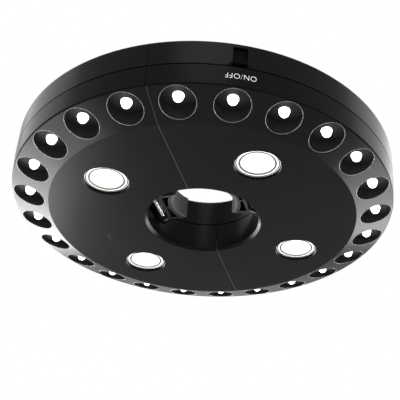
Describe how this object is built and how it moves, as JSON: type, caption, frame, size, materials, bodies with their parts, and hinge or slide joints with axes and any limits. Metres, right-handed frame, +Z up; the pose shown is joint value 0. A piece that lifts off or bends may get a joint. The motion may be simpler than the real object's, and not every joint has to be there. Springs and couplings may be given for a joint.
{
  "type": "patio umbrella light",
  "caption": "Round clamp-on patio umbrella light: two hinged half-ring housings with sprung jaws in the pole hole, a sloping band of LED wells, inner spots and battery trays.",
  "frame": {"origin": "on the axis of the pole hole, at the middle of the clamp pads' height", "axes": "+Z up along the pole, away from the flat LED face, which looks down (-Z); the split between the halves lies along Y, with the hinge at +Y; the half with the switch is on the +X side"},
  "size_m": [0.2168, 0.221, 0.0355],
  "materials": {
    "housing": "satin moulded black plastic",
    "jaw_plastic": "matt moulded black plastic",
    "pad_rubber": "soft dark rubber",
    "steel": "drawn steel",
    "spring_steel": "bright spring wire",
    "led_white": "clear white LED",
    "reflector": "bright plated plastic",
    "lens": "clear lens",
    "led_chip": "phosphor coated chip",
    "circuit_board": "lacquered laminate",
    "cell_jacket": "plain shrink sleeve",
    "nickel_contact": "nickel plated",
    "switch_plastic": "matt plastic",
    "button_plastic": "matt black plastic"
  },
  "bodies": {
    "half_left": {"lower_shell_left": "housing", "upper_shell_left": "housing", "jaw_box_left": "housing", "battery_tray_left": "housing", "hook_cup_left": "housing", "jaw_pin_left": "steel", "jaw_spring_left": "spring_steel", "outer_leds_left": "led_white", "spot_reflectors_left": "reflector", "spot_lenses_left": "lens", "spot_chips_left": "led_chip", "led_board_left": "circuit_board", "cells_left": "cell_jacket", "contact_springs_left": "nickel_contact", "contact_plates_left": "nickel_contact", "hook_pin_left": "steel", "case_screws_left": "steel", "hinge_pin": "steel", "hinge_spring": "spring_steel"},
    "half_right": {"lower_shell_right": "housing", "upper_shell_right": "housing", "jaw_box_right": "housing", "battery_tray_right": "housing", "hook_cup_right": "housing", "jaw_pin_right": "steel", "jaw_spring_right": "spring_steel", "outer_leds_right": "led_white", "spot_reflectors_right": "reflector", "spot_lenses_right": "lens", "spot_chips_right": "led_chip", "led_board_right": "circuit_board", "cells_right": "cell_jacket", "contact_springs_right": "nickel_contact", "contact_plates_right": "nickel_contact", "hook_pin_right": "steel", "case_screws_right": "steel", "control_board": "circuit_board", "switch_body": "switch_plastic"},
    "jaw_arm_left": {"jaw_left": "jaw_plastic", "jaw_pad_left": "pad_rubber"},
    "jaw_arm_right": {"jaw_right": "jaw_plastic", "jaw_pad_right": "pad_rubber"},
    "door_left": {"battery_door_left": "housing"},
    "door_right": {"battery_door_right": "housing"},
    "hanger_left": {"hook_left": "jaw_plastic"},
    "hanger_right": {"hook_right": "jaw_plastic"},
    "button": {"switch_button": "button_plastic"}
  },
  "joints": [
    {"name": "halves_hinge", "type": "hinge", "parent": "half_left", "child": "half_right", "pos_m": [0, 0.1084, 0], "axis": [0, 0, 1], "range_deg": [0, 35], "stiffness_Nm_per_rad": 0.2, "springref_deg": -20.05},
    {"name": "jaw_left_pivot", "type": "hinge", "parent": "half_left", "child": "jaw_arm_left", "pos_m": [-0.028, 0, -0.005], "axis": [0, -1, 0], "range_deg": [-35, 50], "stiffness_Nm_per_rad": 0.05},
    {"name": "jaw_right_pivot", "type": "hinge", "parent": "half_right", "child": "jaw_arm_right", "pos_m": [0.028, 0, -0.005], "axis": [0, 1, 0], "range_deg": [-35, 50], "stiffness_Nm_per_rad": 0.05},
    {"name": "door_left_hinge", "type": "hinge", "parent": "half_left", "child": "door_left", "pos_m": [-0.0448, 0, 0.015], "axis": [0, 1, 0], "range_deg": [0, 90]},
    {"name": "door_right_hinge", "type": "hinge", "parent": "half_right", "child": "door_right", "pos_m": [0.0448, 0, 0.015], "axis": [0, -1, 0], "range_deg": [0, 90]},
    {"name": "hanger_left_pivot", "type": "hinge", "parent": "half_left", "child": "hanger_left", "pos_m": [-0.024, -0.044, 0.0141], "axis": [0, 1, 0], "range_deg": [0, 90]},
    {"name": "hanger_right_pivot", "type": "hinge", "parent": "half_right", "child": "hanger_right", "pos_m": [0.024, 0.044, 0.0141], "axis": [0, -1, 0], "range_deg": [0, 90]},
    {"name": "button_press", "type": "slide", "parent": "half_right", "child": "button", "axis": [-0.3907, 0.9205, 0], "range_m": [0, 0.0005], "stiffness_N_per_m": 800}
  ]
}
